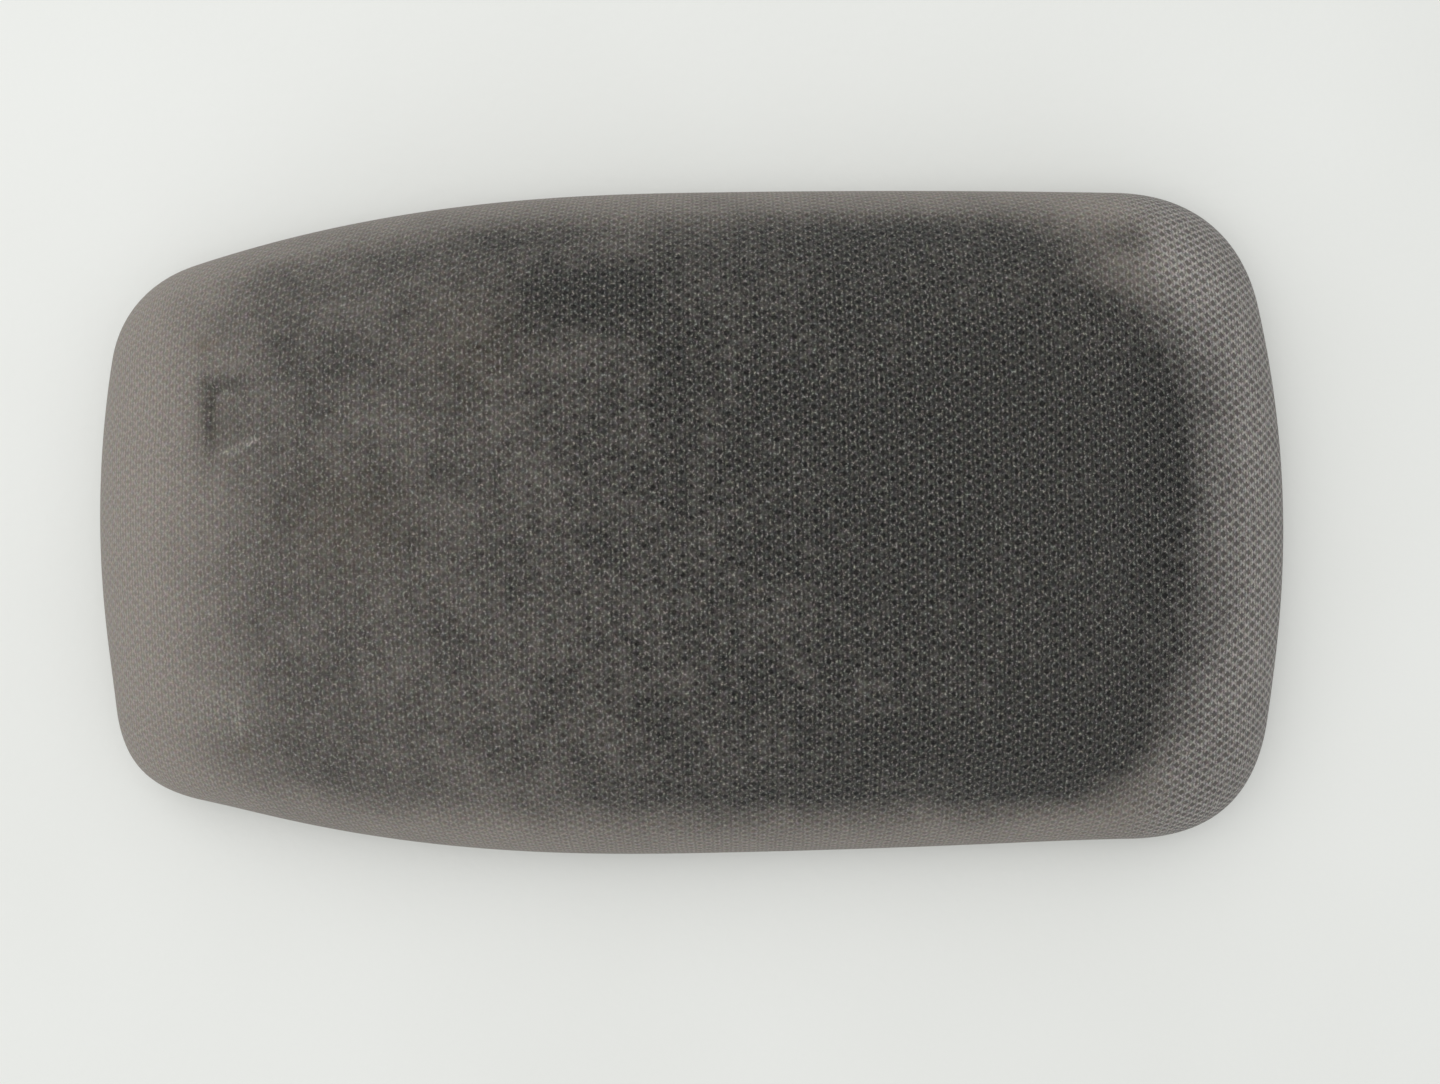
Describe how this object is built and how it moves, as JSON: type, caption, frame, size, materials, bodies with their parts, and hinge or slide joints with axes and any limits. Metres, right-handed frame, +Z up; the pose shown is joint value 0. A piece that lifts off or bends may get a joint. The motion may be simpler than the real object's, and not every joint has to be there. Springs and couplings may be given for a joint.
{
  "type": "console armrest lid",
  "caption": "Padded, cloth-covered lid for a vehicle's centre console, with a foam core, a plastic tray and liner, a sprung pin hinge at the rear and a finger latch at the front.",
  "frame": {"origin": "under the middle of the lid, on the surface that its rubber bumpers rest on", "axes": "+X along the lid to its hinge end, +Y across the lid, +Z up out of the padded top"},
  "size_m": [0.335, 0.187, 0.062],
  "materials": {
    "cloth": "worn warm-grey checked knit upholstery cloth, foam backed",
    "foam": "open-cell moulded polyurethane foam",
    "shell_plastic": "moulded polypropylene, smooth",
    "panel_plastic": "moulded polypropylene with a fine leather-like grain",
    "latch_plastic": "moulded acetal, satin",
    "zinc_steel": "stamped steel, zinc plated",
    "zinc_screw": "steel, zinc plated",
    "spring_steel": "drawn spring steel, lightly oiled",
    "black_screw": "steel, black zinc",
    "nylon": "natural nylon",
    "rubber": "moulded black rubber"
  },
  "bodies": {
    "base": {"hinge_base": "zinc_steel", "hinge_pin": "spring_steel", "hinge_bushing_left": "nylon", "hinge_bushing_right": "nylon", "hinge_clip_left": "spring_steel", "hinge_clip_right": "spring_steel", "torsion_spring_left": "spring_steel", "torsion_spring_right": "spring_steel"},
    "lid": {"fabric_cover": "cloth", "foam_pad": "foam", "lid_shell": "shell_plastic", "inner_panel": "panel_plastic", "inner_panel_screw_1": "black_screw", "inner_panel_screw_2": "black_screw", "inner_panel_screw_3": "black_screw", "inner_panel_screw_4": "black_screw", "inner_panel_screw_5": "black_screw", "inner_panel_screw_6": "black_screw", "bumper_front_left": "rubber", "bumper_front_right": "rubber", "bumper_rear_left": "rubber", "bumper_rear_right": "rubber", "hinge_leaf": "zinc_steel", "hinge_leaf_screw_1": "zinc_screw", "hinge_leaf_screw_2": "zinc_screw", "hinge_leaf_screw_3": "zinc_screw", "hinge_leaf_screw_4": "zinc_screw", "latch_housing": "latch_plastic", "latch_housing_screw_1": "black_screw", "latch_housing_screw_2": "black_screw", "latch_pivot_pin": "spring_steel", "latch_spring_left": "spring_steel", "latch_spring_right": "spring_steel"},
    "latch": {"latch_lever": "latch_plastic"}
  },
  "joints": [
    {"name": "lid_hinge", "type": "hinge", "parent": "base", "child": "lid", "pos_m": [0.13, 0, 0.008], "axis": [0, 1, 0], "range_deg": [0, 80], "deforming": ["torsion_spring_left", "torsion_spring_right"]},
    {"name": "latch_pivot", "type": "hinge", "parent": "lid", "child": "latch", "pos_m": [-0.126, 0, 0.008], "axis": [0, 1, 0], "range_deg": [0, 15], "stiffness_Nm_per_rad": 0.02, "springref_deg": -28.65, "deforming": ["latch_spring_left", "latch_spring_right"]}
  ]
}
